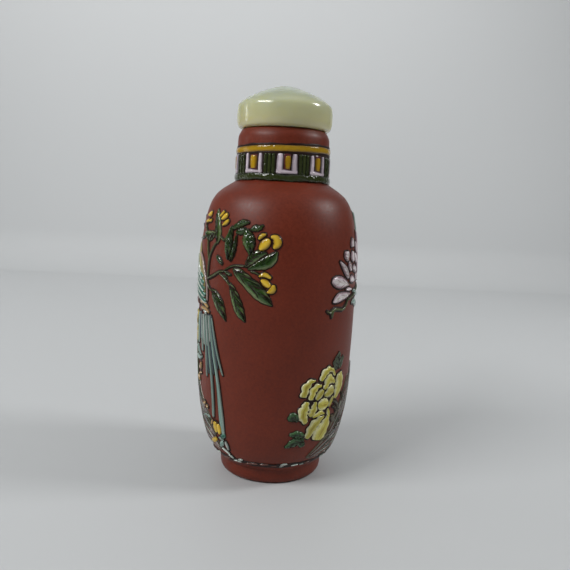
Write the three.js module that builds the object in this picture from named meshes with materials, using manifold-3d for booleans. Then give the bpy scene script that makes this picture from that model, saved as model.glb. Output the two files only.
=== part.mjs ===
// Snuff bottle: a small turned flask of red stoneware with raised enamel flowers fired onto it,
// and the loose round stopper that closes its mouth.
// Millimetres, +Z up. The origin is the centre of the foot's underside, and the front faces -Y.

import * as THREE from 'three';
import { mergeVertices } from 'three/addons/utils/BufferGeometryUtils.js';
import Module from 'manifold-3d';

const wasm = await Module();
wasm.setup();

// ---- driving dimensions -------------------------------------------------------------------

const bellyRadius = 16.3; // the widest turn, at half height
const footRadius = 10.8;
const footHeight = 3.3;
const footRingWidth = 2.4; // the ring of clay that meets the table
const footRecess = 2;
const shoulderHeight = 60.6; // where the shoulder meets the neck
const neckRadius = 9.4;
const lipHeight = 71.2; // the flat top that the stopper rests on
const lipRadius = 8.3;
const mouthRadius = 4;
const wallThickness = 2.4;

const stopperRadius = 9.7;
const stopperHeight = 8.8;
const plugRadius = 3.6;
const plugLength = 6;

const enamelRise = 0.4; // how far a cell of enamel stands above the clay
const enamelEdge = 0.12; // its height at the rim
const enamelRoot = 0.7; // how deep a cell is rooted in the wall
const bandRise = 0.2; // the enamel rings round the neck

const outerSegments = 40;
const innerSegments = 24;
const stopperSegments = 28;

// ---- turned outlines ----------------------------------------------------------------------

const point = (radius, height) => new THREE.Vector2(radius, height);

// The side of the body, from the step over the foot, round the belly, to the root of the neck.
const bodySide = new THREE.SplineCurve([
  point(footRadius + 0.5, footHeight + 0.2),
  point(13.1, 6.1),
  point(14.55, 10.6),
  point(15.6, 17),
  point(bellyRadius - 0.2, 26),
  point(bellyRadius, 36),
  point(16.05, 47.5),
  point(15.1, 54),
  point(13.3, 58),
  point(neckRadius + 0.4, shoulderHeight),
]);
const bodyPoints = bodySide.getPoints(12);

// The clay's radius at a height on the side of the body or on the neck above it.
function radiusAt(height) {
  const above = bodyPoints.findIndex((p) => p.y > height);
  if (above < 0) return neckRadius;
  if (above === 0) return bodyPoints[0].x;
  const low = bodyPoints[above - 1];
  const high = bodyPoints[above];
  return THREE.MathUtils.mapLinear(height, low.y, high.y, low.x, high.x);
}

function footPoints() {
  const edge = 0.5;
  return [
    point(0, footRecess),
    point(footRadius - footRingWidth, footRecess),
    point(footRadius - footRingWidth + edge, 0),
    point(footRadius - edge, 0),
    point(footRadius, edge * 2),
    point(footRadius - 0.1, footHeight - 0.3),
    point(footRadius + 0.1, footHeight),
  ];
}

// The neck carries a wide ring of green enamel with a narrow yellow ring above it.
const greenBand = { bottom: shoulderHeight + 0.1, top: 66.1 };
const yellowBand = { bottom: 66.4, top: 67.8 };

function bandPoints({ bottom, top }) {
  const edge = 0.15;
  return [
    point(neckRadius, bottom),
    point(neckRadius + bandRise, bottom + edge),
    point(neckRadius + bandRise, top - edge),
    point(neckRadius, top),
  ];
}

function neckPoints() {
  return [
    ...bandPoints(greenBand),
    ...bandPoints(yellowBand),
    point(neckRadius - 0.05, lipHeight - 2),
    point(neckRadius - 0.4, lipHeight - 0.9),
    point(lipRadius + 0.4, lipHeight - 0.2),
    point(lipRadius, lipHeight),
    point(0, lipHeight),
  ];
}

// The hollow follows the outside one wall's thickness in, with a rounded floor and a drawn-in shoulder.
const hollowFloor = footRecess + wallThickness + 0.4;
const hollowTop = shoulderHeight - 2.6;

function hollowPoints() {
  const side = new THREE.SplineCurve([
    point(bellyRadius * 0.42, hollowFloor),
    point(11.5, 8.2),
    point(13.2, 17),
    point(bellyRadius - wallThickness, 34),
    point(13.4, 47),
    point(10.6, 54),
    point(mouthRadius + 0.6, hollowTop),
  ]);
  return [
    point(0, hollowFloor),
    ...side.getPoints(7),
    point(mouthRadius, hollowTop + 1),
    point(mouthRadius, lipHeight - 0.4),
    point(mouthRadius + 0.4, lipHeight),
    point(mouthRadius + 0.4, lipHeight + 1),
    point(0, lipHeight + 1),
  ];
}

function stopperPoints() {
  const seat = stopperRadius - 0.9;
  const dome = new THREE.SplineCurve([
    point(stopperRadius, lipHeight + 1.8),
    point(stopperRadius - 0.05, lipHeight + 3.8),
    point(stopperRadius - 0.65, lipHeight + 5.3),
    point(stopperRadius - 2.3, lipHeight + 6.6),
    point(stopperRadius / 2, lipHeight + 7.75),
    point(1.6, lipHeight + stopperHeight - 0.25),
  ]);
  return [
    point(0, lipHeight - plugLength),
    point(plugRadius - 0.5, lipHeight - plugLength),
    point(plugRadius - 0.2, lipHeight - plugLength + 0.5),
    point(plugRadius, lipHeight),
    point(seat, lipHeight),
    point(stopperRadius - 0.3, lipHeight + 0.5),
    ...dome.getPoints(7),
    point(0, lipHeight + stopperHeight),
  ];
}

// ---- solids -------------------------------------------------------------------------------

// A closed geometry as a solid that can be joined and cut.
function toSolid(geometry) {
  const bare = geometry.clone();
  bare.deleteAttribute('normal');
  bare.deleteAttribute('uv');
  const closed = mergeVertices(bare, 1e-4);
  return new wasm.Manifold(new wasm.Mesh({
    numProp: 3,
    vertProperties: new Float32Array(closed.attributes.position.array),
    triVerts: new Uint32Array(closed.index.array),
  }));
}

function toGeometry(solid) {
  const mesh = solid.getMesh();
  const geometry = new THREE.BufferGeometry();
  geometry.setAttribute('position', new THREE.BufferAttribute(mesh.vertProperties, 3));
  geometry.setIndex(new THREE.BufferAttribute(mesh.triVerts, 1));
  geometry.computeVertexNormals();
  return geometry;
}

// A turned piece stands on +Z: the lathe spins its outline round +Y.
function turned(points, segments) {
  return new THREE.LatheGeometry(points, segments).rotateX(Math.PI / 2);
}

// ---- enamel cells -------------------------------------------------------------------------

// A place on the bottle is an angle in degrees round from the front, and a height.
// The picture is laid out flat, with this many millimetres to a degree, and wrapped on the clay.
const mmPerDegree = THREE.MathUtils.degToRad(bellyRadius);
const place = ([angle, height]) => new THREE.Vector2(angle * mmPerDegree, height);

function wrap(flat, rise) {
  const angle = THREE.MathUtils.degToRad(flat.x / mmPerDegree);
  const radius = radiusAt(flat.y) + rise;
  return [radius * Math.sin(angle), -radius * Math.cos(angle), flat.y];
}

// How blunt the two ends of a cell are: 1 is pointed, 0.5 is round and 0.2 is square.
const POINTED = 1;
const ROUND = 0.5;
const EVEN = 0.2;

// One cell of enamel: a low strip along a bent line between two places, rooted in the clay.
// Two strips side by side make a ridge, and one is flat on top.
function cell(from, to, width, bend, ends, steps, strips) {
  const start = place(from);
  const finish = place(to);
  const along = finish.clone().sub(start);
  const side = point(-along.y, along.x).normalize();
  const box = new THREE.BoxGeometry(1, 1, 1, steps, strips, 1);
  const corners = box.attributes.position;
  for (let i = 0; i < corners.count; i += 1) {
    const step = THREE.MathUtils.clamp(corners.getX(i) + 0.5, 0.04, 0.96);
    const arch = 4 * step * (1 - step);
    const offset = bend * arch + corners.getY(i) * width * arch ** ends;
    const flat = start.clone().addScaledVector(along, corners.getX(i) + 0.5).addScaledVector(side, offset);
    const top = strips === 2 && corners.getY(i) !== 0 ? enamelEdge : enamelRise;
    corners.setXYZ(i, ...wrap(flat, corners.getZ(i) > 0 ? top : -enamelRoot));
  }
  return toSolid(box);
}

const leaf = (from, to, width, bend = 0) => cell(from, to, width, bend, POINTED, 3, 2);
const petal = (from, to, width, bend = 0) => cell(from, to, width, bend, ROUND, 3, 2);
const bud = (from, to, width) => cell(from, to, width, 0, ROUND, 2, 1);
const ribbon = (from, to, width, bend = 0) => cell(from, to, width, bend, EVEN, 4, 1);

// The flowering branch over the front: stems, hanging leaves and clusters of yellow buds.
function branch() {
  return [
    ribbon([-58, 41], [-29, 43.9], 0.7, 0.3),
    ribbon([-58.5, 39.5], [-57.5, 48.5], 0.9, 0.3),
    leaf([-30, 44.3], [-3, 37.7], 3, 0.3),
    leaf([-22, 44.6], [-1.5, 47.4], 2.9, -0.3),
    leaf([-36, 42], [-20.5, 34.5], 2.2, 0.5),
    leaf([-54, 39.7], [-36.5, 34.2], 2.8, 0.4),
    leaf([-36, 51.6], [-37, 45.8], 1.8, -0.5),
    leaf([-35, 51.2], [-17, 52.6], 1.9, 0.7),
    leaf([-25, 51.6], [-19.5, 46.8], 3, 0.2),
    leaf([-50, 48], [-53, 54.8], 2.2, 0.2),
    leaf([-47, 50.6], [-67, 49.6], 1.8, -0.2),
    petal([-49, 46], [-40, 44.8], 0.9, 0.3),
    bud([-13.8, 48.2], [-5.4, 49.8], 1.8),
    bud([-5.2, 50.2], [-1, 48.6], 1.7),
    bud([-12.5, 43.2], [-4.5, 43.1], 1),
    bud([-11, 42.3], [-4.5, 41], 1.3),
    bud([-6.5, 40.2], [-1.4, 41.6], 1.4),
    bud([-48.6, 53.5], [-40.2, 54], 1.3),
    bud([-45, 52], [-38.5, 52.8], 1.2),
    bud([-69.5, 52], [-59.5, 54.2], 2),
  ];
}

// The long-tailed bird that perches at the left: head, chest, wing, rump and tail ribbons.
function bird() {
  return [
    petal([-96, 47.6], [-104, 50.6], 3.6),
    petal([-66, 44], [-98, 47.6], 5, 0.5),
    petal([-58, 38.8], [-88, 42.4], 5.6, -0.4),
    petal([-51, 34.6], [-68, 37.6], 2.6),
    ribbon([-56, 34.6], [-40, 10.2], 1.2, 2.4),
    ribbon([-59, 34.6], [-49.8, 13.4], 0.9, 1.2),
    ribbon([-50.5, 34], [-38.2, 23], 0.6, 0.3),
    ribbon([-62, 34.4], [-56.4, 21.6], 0.7, 0.4),
    ribbon([-66, 34.6], [-63.5, 26.4], 0.8, 0.2),
  ];
}

// The peony at the lower right: a heart of small petals inside wide, drooping ones.
function peony() {
  return [
    petal([19, 20.6], [30, 22.8], 1.5, 1.2),
    petal([26.5, 19.9], [36, 21.8], 1.3, 0.6),
    bud([32.4, 20], [38, 20.1], 1.5),
    petal([34, 23.3], [48.2, 24], 1.3, 0.7),
    petal([38.2, 21.6], [48.6, 22.4], 1.3, 0.7),
    bud([39.5, 19.6], [48, 20.8], 1.7),
    bud([34.6, 17.9], [43.8, 17.9], 1.9),
    petal([28, 16], [32.5, 18.2], 1.8, 0.2),
    petal([26.8, 18.4], [27.6, 14.8], 1.8, -1),
    petal([40.5, 15.2], [26.6, 11.6], 2.3, 0.3),
    petal([43, 15], [38.5, 10], 4.4),
    petal([50.6, 19.6], [57, 23.2], 3.2, 0.2),
  ];
}

function peonyLeaves() {
  return [
    leaf([20, 15.6], [10.6, 16], 2.4),
    leaf([27.5, 10.6], [10.2, 9.6], 2.2),
    leaf([25.5, 12], [12.6, 12.6], 1.8),
    leaf([50, 23.8], [52, 28], 2.2),
    leaf([52.5, 23.8], [59.5, 26.4], 2),
  ];
}

// The magnolia at the upper right: long petals fanned out from a stem.
function magnolia() {
  return [
    petal([60, 41.3], [38.8, 42.4], 2.6, 0.3),
    petal([62, 39.5], [41, 38.5], 1.9, 0.3),
    leaf([60, 42.6], [46, 46], 1.9, -0.2),
    petal([60, 46.9], [51.8, 47.8], 2.1),
    petal([69, 48.2], [60.5, 49.2], 2.2),
    petal([70, 46.2], [61, 46.8], 2),
    petal([88, 41.5], [61, 42.2], 2.2),
    petal([88, 43.6], [70, 46.4], 2.4),
    petal([92, 46], [80, 50], 3),
    petal([94, 42], [108, 46.4], 3.2),
    ribbon([57, 38], [36, 36.4], 0.8, -0.4),
    ribbon([84, 38.6], [116, 24], 1.2, 1.6),
  ];
}

// The garden rocks that both pictures stand on, low down at the left and at the right.
function rocks(side) {
  return [
    petal([side * 56, 9], [side * 84, 17], 4.2, side * 0.6),
    petal([side * 50, 6.6], [side * 80, 9.2], 2.4),
    petal([side * 78, 7.4], [side * 108, 13.4], 5),
    petal([side * 106, 7.4], [side * 132, 11], 4.4),
  ];
}

// What grows from the rocks on the hidden sides, in the manner of the front.
function farStems(side) {
  return [
    ribbon([side * 122, 11], [side * 116, 44], 1.2, side * 1.4),
    leaf([side * 118, 44], [side * 128, 52.4], 2.6, 0.4),
    leaf([side * 120, 34], [side * 138, 38], 2.6, 0.3),
    petal([side * 126, 21], [side * 139, 22.6], 3),
  ];
}

// Eight lappets hang round the neck, each a tongue in a pale frame.
function lappet(angle) {
  const halfFrame = 12.4;
  const halfTongue = 3.9;
  const plate = (half, bottom, top, rise) => {
    const box = new THREE.BoxGeometry(1, 1, 1, 2, 1, 1);
    const corners = box.attributes.position;
    for (let i = 0; i < corners.count; i += 1) {
      const turn = THREE.MathUtils.degToRad(angle + corners.getX(i) * 2 * half);
      const radius = neckRadius + (corners.getZ(i) > 0 ? bandRise + rise : -enamelRoot);
      const height = corners.getY(i) > 0 ? top : bottom;
      corners.setXYZ(i, radius * Math.sin(turn), -radius * Math.cos(turn), height);
    }
    return toSolid(box);
  };
  return [plate(halfFrame, 62.2, 65.9, 0.1), plate(halfTongue, 63.2, 65.8, 0.25)];
}

function lappets() {
  const count = 8;
  const first = 5.2;
  return Array.from({ length: count }, (_, i) => lappet(first + (360 / count) * i)).flat();
}

// ---- the two pieces -----------------------------------------------------------------------

function bottleGeometry() {
  const outside = toSolid(turned([...footPoints(), ...bodyPoints, ...neckPoints()], outerSegments));
  const inside = toSolid(turned(hollowPoints(), innerSegments));
  const enamel = [
    ...branch(), ...bird(), ...peony(), ...peonyLeaves(), ...magnolia(),
    ...rocks(-1), ...rocks(1), ...farStems(-1), ...farStems(1), ...lappets(),
  ];
  const dressed = enamel.reduce((solid, piece) => solid.add(piece), outside);
  return toGeometry(dressed.subtract(inside));
}

const clay = new THREE.MeshStandardMaterial({ color: 0x6a2a1e, roughness: 0.6, metalness: 0 });
const celadon = new THREE.MeshStandardMaterial({ color: 0x9b9a78, roughness: 0.18, metalness: 0 });

const bottle = new THREE.Mesh(bottleGeometry(), clay);
bottle.name = 'bottle';

const stopper = new THREE.Mesh(turned(stopperPoints(), stopperSegments), celadon);
stopper.name = 'stopper';

const snuffBottle = new THREE.Group();
snuffBottle.add(bottle, stopper);

export default snuffBottle;
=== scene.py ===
from math import atan2, cos, degrees, hypot, pi, radians, sin

import bmesh
import bpy
from mathutils import Matrix, Vector


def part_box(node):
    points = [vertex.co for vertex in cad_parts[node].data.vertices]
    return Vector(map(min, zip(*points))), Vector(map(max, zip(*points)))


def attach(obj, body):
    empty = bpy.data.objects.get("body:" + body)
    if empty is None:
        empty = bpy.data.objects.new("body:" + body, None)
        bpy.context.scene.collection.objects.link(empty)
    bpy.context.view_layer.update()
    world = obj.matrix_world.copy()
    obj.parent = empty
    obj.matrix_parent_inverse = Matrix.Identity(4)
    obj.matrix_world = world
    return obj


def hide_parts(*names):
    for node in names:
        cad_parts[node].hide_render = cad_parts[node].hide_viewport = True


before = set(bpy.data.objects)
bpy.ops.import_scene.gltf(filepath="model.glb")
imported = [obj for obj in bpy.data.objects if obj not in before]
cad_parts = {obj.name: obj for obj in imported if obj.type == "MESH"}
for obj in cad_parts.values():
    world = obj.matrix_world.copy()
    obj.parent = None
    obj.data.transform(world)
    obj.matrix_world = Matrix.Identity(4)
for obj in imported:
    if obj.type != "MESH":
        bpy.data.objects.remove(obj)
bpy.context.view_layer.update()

MM = 0.001  # every size below is in millimetres until it goes into a mesh

# ---- the camera -----------------------------------------------------------------------------
# A small hand-held camera close to the bottle, a little above its middle, looking slightly down
# and held a little off level.
eye = Vector((0, -125.9, 56.6)) * MM
down, swing, tilt = 0.135, 0.0125, 0.0457  # radians: tipped down, turned right and rolled
forward = Vector((sin(swing) * cos(down), cos(swing) * cos(down), -sin(down)))
level_right = Vector((cos(swing), -sin(swing), 0))
level_up = level_right.cross(forward)
right = level_right * cos(tilt) + level_up * sin(tilt)
up = level_up * cos(tilt) - level_right * sin(tilt)

camera_data = bpy.data.cameras.new("camera")
camera_data.sensor_width = 36
camera_data.lens = 37.9
camera_data.clip_start = 0.01  # metres, well in front of the bottle
camera = bpy.data.objects.new("camera", camera_data)
camera.matrix_world = Matrix.Translation(eye) @ Matrix((right, up, -forward)).transposed().to_4x4()
bpy.context.collection.objects.link(camera)
bpy.context.scene.camera = camera


# ---- the clay -------------------------------------------------------------------------------
# The bottle is one vessel of fine red stoneware, thrown and turned on a wheel, with a short foot
# ring, a hollow inside and a plain mouth. It is burnished and fired without a glaze.
lip_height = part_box("bottle")[1].z / MM
belly_radius = 16.3
foot_radius = 10.8
foot_height = 3.3
neck_root = 60.6
neck_radius = 9.4
lip_radius = 8.3
mouth_radius = 4
wall = 2.4
foot_recess = 2
turns = 192  # facets round a turned piece
seam = 0.002  # points closer than this are one


def smooth_line(stations, steps):
    """A smooth outline through a few stations of radius and height, with this many steps."""
    last = len(stations) - 1
    line = []
    for step in range(steps + 1):
        travel = last * step / steps
        i = min(int(travel), last - 1)
        t = travel - i
        before, start, end, after = (Vector(stations[max(0, min(last, i + k))]) for k in (-1, 0, 1, 2))
        pull_in, pull_out = (end - before) / 2, (after - start) / 2
        cubic = (start - end) * 2 + pull_in + pull_out
        square = (end - start) * 3 - pull_in * 2 - pull_out
        line.append(tuple(cubic * t**3 + square * t**2 + pull_in * t + start))
    return line


foot_line = [
    (0, foot_recess),
    (foot_radius - 2.6, foot_recess),
    (foot_radius - 2.4, foot_recess - 0.2),
    (foot_radius - 2.3, 0.35),
    (foot_radius - 2.15, 0.1),
    (foot_radius - 1.95, 0),
    (foot_radius - 1.2, 0),
    (foot_radius - 0.75, 0.1),
    (foot_radius - 0.35, 0.36),
    (foot_radius - 0.1, 0.8),
    (foot_radius, 1.4),
    (foot_radius, 1.9),
    (foot_radius - 0.1, foot_height - 0.5),
    (foot_radius - 0.05, foot_height - 0.1),
    (foot_radius + 0.15, foot_height),
]
body_line = smooth_line(
    [
        (foot_radius + 0.5, foot_height + 0.2),
        (13.1, 6.1),
        (14.55, 10.6),
        (15.6, 17),
        (belly_radius - 0.2, 26),
        (belly_radius, 36),
        (16.05, 47.5),
        (15.1, 54),
        (13.3, 58),
        (neck_radius + 0.4, neck_root),
    ],
    72,
)
neck_line = [
    (neck_radius + 0.1, neck_root + 0.15),
    (neck_radius, neck_root + 0.5),
    (neck_radius, 64),
    (neck_radius - 0.02, 67),
]
lip_line = smooth_line(
    [
        (neck_radius - 0.05, lip_height - 2.6),
        (neck_radius - 0.15, lip_height - 1.5),
        (neck_radius - 0.5, lip_height - 0.7),
        (lip_radius + 0.2, lip_height - 0.15),
        (lip_radius - 0.4, lip_height),
    ],
    12,
)
mouth_line = [
    (mouth_radius + 0.5, lip_height),
    (mouth_radius + 0.15, lip_height - 0.1),
    (mouth_radius, lip_height - 0.45),
    (mouth_radius, neck_root - 1.6),
]
hollow_floor = foot_recess + wall + 0.4
hollow_line = smooth_line(
    [
        (mouth_radius + 0.6, neck_root - 2.6),
        (10.6, 54),
        (13.4, 47),
        (belly_radius - wall, 34),
        (13.2, 17),
        (11.5, 8.2),
        (belly_radius * 0.42, hollow_floor),
    ],
    36,
) + [(0, hollow_floor)]


def spin_round(bm, line, closed=False):
    """Spins an outline of radius and height all the way round the axis of the bottle."""
    corners = [bm.verts.new((radius * MM, 0, height * MM)) for radius, height in line]
    following = corners[1:] + corners[:1] if closed else corners[1:]
    edges = [bm.edges.new(pair) for pair in zip(corners, following)]
    bmesh.ops.spin(
        bm, geom=corners + edges, cent=(0, 0, 0), axis=(0, 0, 1), dvec=(0, 0, 0), angle=2 * pi,
        steps=turns, use_merge=True, use_normal_flip=False, use_duplicate=False,
    )


def smooth_object(name, bm, material):
    """Puts a built shape into the scene as one smooth object in one material."""
    for face in bm.faces:
        face.smooth = True
    mesh = bpy.data.meshes.new(name)
    bm.to_mesh(mesh)
    bm.free()
    mesh.materials.append(material)
    made = bpy.data.objects.new(name, mesh)
    bpy.context.collection.objects.link(made)
    return made


def finished(name, bm, material):
    """Closes the seams of a built shape, turns its faces outwards and makes it a piece of the bottle."""
    bmesh.ops.remove_doubles(bm, verts=bm.verts, dist=seam * MM)
    bmesh.ops.recalc_face_normals(bm, faces=bm.faces)
    piece = smooth_object(name, bm, material)
    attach(piece, "root")
    return piece


def turned(name, line, material):
    """Makes a piece that is turned on a wheel, from an outline that begins and ends on its axis."""
    bm = bmesh.new()
    spin_round(bm, line)
    return finished(name, bm, material)


def linear(code):
    """An sRGB hex colour as linear red, green, blue and alpha."""
    parts = [int(code[i : i + 2], 16) / 255 for i in (1, 3, 5)]
    return [p / 12.92 if p <= 0.04045 else ((p + 0.055) / 1.055) ** 2.4 for p in parts] + [1]


def add_node(tree, kind, settings=None, **links):
    """Adds a shader node with its settings, and links or sets its inputs by name or number (i0, i1).

    A node that is given for an input stands for the first of its outputs.
    """
    node = tree.nodes.new(kind)
    for key, value in (settings or {}).items():
        setattr(node, key, value)
    for key, value in links.items():
        numbered = key[0] == "i" and key[1:].isdigit()
        socket = node.inputs[int(key[1:]) if numbered else key.replace("_", " ")]
        if isinstance(value, bpy.types.Node):
            value = value.outputs[0]
        if isinstance(value, bpy.types.NodeSocket):
            tree.links.new(value, socket)
        else:
            socket.default_value = value
    return node


def new_material(name):
    """A named material with one plain surface shader, and its node tree."""
    material = bpy.data.materials.new(name)
    material.use_nodes = True
    tree = material.node_tree
    return material, tree, tree.nodes["Principled BSDF"]


def ramp(tree, factor, stops):
    """A colour ramp with these places and colours."""
    node = add_node(tree, "ShaderNodeValToRGB", None, Fac=factor)
    points = node.color_ramp.elements
    while len(points) < len(stops):
        points.new(0.5)
    for point, (where, colour) in zip(points, stops):
        point.position = where
        point.color = linear(colour)
    return node.outputs["Color"]


def per_metre(size_in_mm):
    """The scale of a texture whose features repeat at this size."""
    return 1 / (size_in_mm * MM)


# Red stoneware, burnished and left unglazed: matt, with a soft sheen on the shoulders, a fine
# grain of sand in the clay and a slow mottling from the kiln.
def red_stoneware():
    material, tree, surface = new_material("red stoneware, burnished and unglazed")
    place = add_node(tree, "ShaderNodeTexCoord").outputs["Object"]
    cloud = add_node(tree, "ShaderNodeTexNoise", None, Vector=place, Scale=per_metre(9), Detail=4.0)
    grain = add_node(
        tree, "ShaderNodeTexNoise", None, Vector=place, Scale=per_metre(0.45), Detail=3.0, Roughness=0.7
    )
    mottle = ramp(tree, cloud, [(0.3, "#732c18"), (0.5, "#7a2f1a"), (0.72, "#82331d")])
    sand = ramp(tree, grain, [(0.3, "#5e4a44"), (0.5, "#808080"), (0.72, "#a89a90")])
    colour = add_node(
        tree, "ShaderNodeMix", {"data_type": "RGBA", "blend_type": "OVERLAY"}, i0=0.5, i6=mottle, i7=sand
    )
    gloss = add_node(
        tree, "ShaderNodeMapRange", None, Value=grain, From_Min=0.3, From_Max=0.7, To_Min=0.38, To_Max=0.5
    )
    bump = add_node(tree, "ShaderNodeBump", None, Height=grain, Strength=0.25, Distance=0.03 * MM)
    tree.links.new(colour.outputs[2], surface.inputs["Base Color"])
    tree.links.new(gloss.outputs["Result"], surface.inputs["Roughness"])
    tree.links.new(bump.outputs["Normal"], surface.inputs["Normal"])
    surface.inputs["IOR"].default_value = 1.5
    surface.inputs["Specular IOR Level"].default_value = 0.3
    return material


clay_line = foot_line + body_line + neck_line + lip_line + mouth_line + hollow_line
clay = turned("bottle_clay", clay_line, red_stoneware())
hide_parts("bottle")


# ---- how the enamel is laid -------------------------------------------------------------------
# The picture is drawn on the fired clay in a dark line, each cell is filled with a thick drop of
# coloured glass paste, and the bottle is fired again, so the drops melt into low shiny domes.
line_width = 0.3  # the dark line that shows round a cell
line_rise = 0.14
enamel_rise = 0.4
enamel_root = 0.3  # how deep a cell sits in the clay
rim_share = 0.38  # how thick a cell is at its rim, of its full rise
line_steps = 24  # steps along the smooth middle line of a cell
ROUND, POINTED, EVEN, SQUARE = 1.0, 1.7, 0.35, 0.2  # how the ends of a cell narrow


def clay_at(height):
    """The clay's radius at a height, and the way its surface faces: outwards and up."""
    outside = body_line + neck_line + lip_line
    above = next((i for i, (_, z) in enumerate(outside) if z > height), len(outside) - 1)
    low, high = Vector(outside[max(above - 1, 0)]), Vector(outside[max(above, 1)])
    share = (height - low.y) / (high.y - low.y)
    slope = (high - low).normalized()
    return low.x + (high.x - low.x) * share, Vector((slope.y, -slope.x))


def on_clay(flat, rise):
    """Wraps a point of the flat picture round the bottle, standing this far off the clay."""
    angle = flat.x / belly_radius
    radius, facing = clay_at(flat.y)
    out = radius + rise * facing.x
    return Vector((out * sin(angle), -out * cos(angle), flat.y + rise * facing.y)) * MM


def drawn(*line, **more):
    """A cell brushed through stations: each an angle round from the front, a height and a width."""
    return {"line": line, "ends": EVEN, **more}


def arched(start, end, width, bend, swell):
    """The stations of a simple cell between two places, arched to its left if it bends."""
    run, climb = radians(end[0] - start[0]) * belly_radius, end[1] - start[1]
    length = hypot(run, climb)
    line = []
    for share in (0, 0.25, 0.5, 0.75, 1):
        arch = bend * 4 * share * (1 - share) / length
        angle = start[0] + degrees((share * run - arch * climb) / belly_radius)
        line.append((angle, start[1] + share * climb + arch * run, width * (1 + swell * (2 * share - 1))))
    return line


def leaf(start, end, width, bend=0.0, swell=-0.35, **more):
    """A pointed cell between two places, each an angle and a height."""
    return {"line": arched(start, end, width, bend, swell), "ends": POINTED, **more}


def petal(start, end, width, bend=0.0, swell=0.3, **more):
    """A round cell, wider at its far end unless its swell says otherwise."""
    return {"line": arched(start, end, width, bend, swell), "ends": ROUND, **more}


def ribbon(start, end, width, bend=0.0, **more):
    """A cell of even width."""
    return {"line": arched(start, end, width, bend, 0.0), "ends": EVEN, **more}


def flat_line(line):
    """The smooth middle line of a cell, flat, in millimetres: across, up and the width."""
    stations = [(radians(angle) * belly_radius, height, width) for angle, height, width in line]
    return smooth_line(stations, line_steps)


def along(middle, share):
    """The flat point, the way to its left and the width at a share of a smooth middle line."""
    travel = min(max(share, 0), 1) * (len(middle) - 1)
    i = min(int(travel), len(middle) - 2)
    point = Vector(middle[i]).lerp(Vector(middle[i + 1]), travel - i)
    before, after = Vector(middle[max(i - 1, 0)]), Vector(middle[min(i + 2, len(middle) - 1)])
    way = (after - before).to_2d().normalized()
    return point.to_2d(), Vector((-way.y, way.x)), point.z


def add_cell(bm, line, ends=ROUND, frill=0, depth=0.4, grow=0.0, rise=enamel_rise, base=0.0, tone=0.5,
             steps=16, strips=8):
    """Models one closed cell flat, as a thick sheet, and then wraps it on the clay."""
    stroke = bm.loops.layers.uv["stroke"]
    shade = bm.faces.layers.float["tone"]
    sheet = bmesh.ops.create_grid(bm, x_segments=steps, y_segments=strips, size=0.5)["verts"]
    under = list({face for corner in sheet for face in corner.link_faces})
    lifted = bmesh.ops.extrude_face_region(bm, geom=under, use_keep_orig=True)["geom"]
    top = [item for item in lifted if isinstance(item, bmesh.types.BMVert)]
    for face in {face for corner in top + sheet for face in corner.link_faces}:
        face[shade] = tone
        for loop in face.loops:
            loop[stroke].uv = (loop.vert.co.x + 0.5, loop.vert.co.y + 0.5)
    middle = flat_line(line)
    columns = {}
    for corners, is_top in ((sheet, False), (top, True)):
        for corner in corners:
            turn = pi * (corner.co.x + 0.5)
            share = (1 - cos(turn)) / 2
            across = corner.co.y * 2
            column = round(share, 5)
            if column not in columns:
                columns[column] = along(middle, share)
            point, side, width = columns[column]
            half = (width / 2 + grow) * max(sin(turn), 0) ** ends
            if frill:  # lobes along the edge, that slant a little and swing to both sides of it
                half += depth * (abs(sin(frill * pi * share + 0.9 * across)) - 0.6) * sin(turn)
            onward = Vector((side.y, -side.x)) * grow * (2 * share - 1)
            flat = point + side * (across * half) + onward
            dome = (1 - abs(across) ** 2.6) * (1 - (1 - sin(turn)) ** 3)
            height = base + rise * (rim_share + (1 - rim_share) * dome) if is_top else -enamel_root
            corner.co = on_clay(flat, height)


def fresh_layers():
    """An empty shape with the layers that the enamels read."""
    bm = bmesh.new()
    bm.loops.layers.uv.new("stroke")
    bm.faces.layers.float.new("tone")
    return bm


def lay(name, cells, material, **same):
    """Lays a group of like cells as one piece, each a little lighter or darker than the next."""
    bm = fresh_layers()
    for number, given in enumerate(cells):
        tone = 0.5 + 0.5 * sin(number * 2.4 + len(name))
        add_cell(bm, **{"tone": tone, **given, **same})
    finished(name, bm, material)


def outlined(name, cells, material, line=line_width, steps=16):
    """Lays a group of cells over the dark line that was drawn round each of them first."""
    lay(name + "_line", cells, dark_line, grow=line, rise=line_rise, steps=steps, strips=4)
    lay(name, cells, material, steps=steps)


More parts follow.
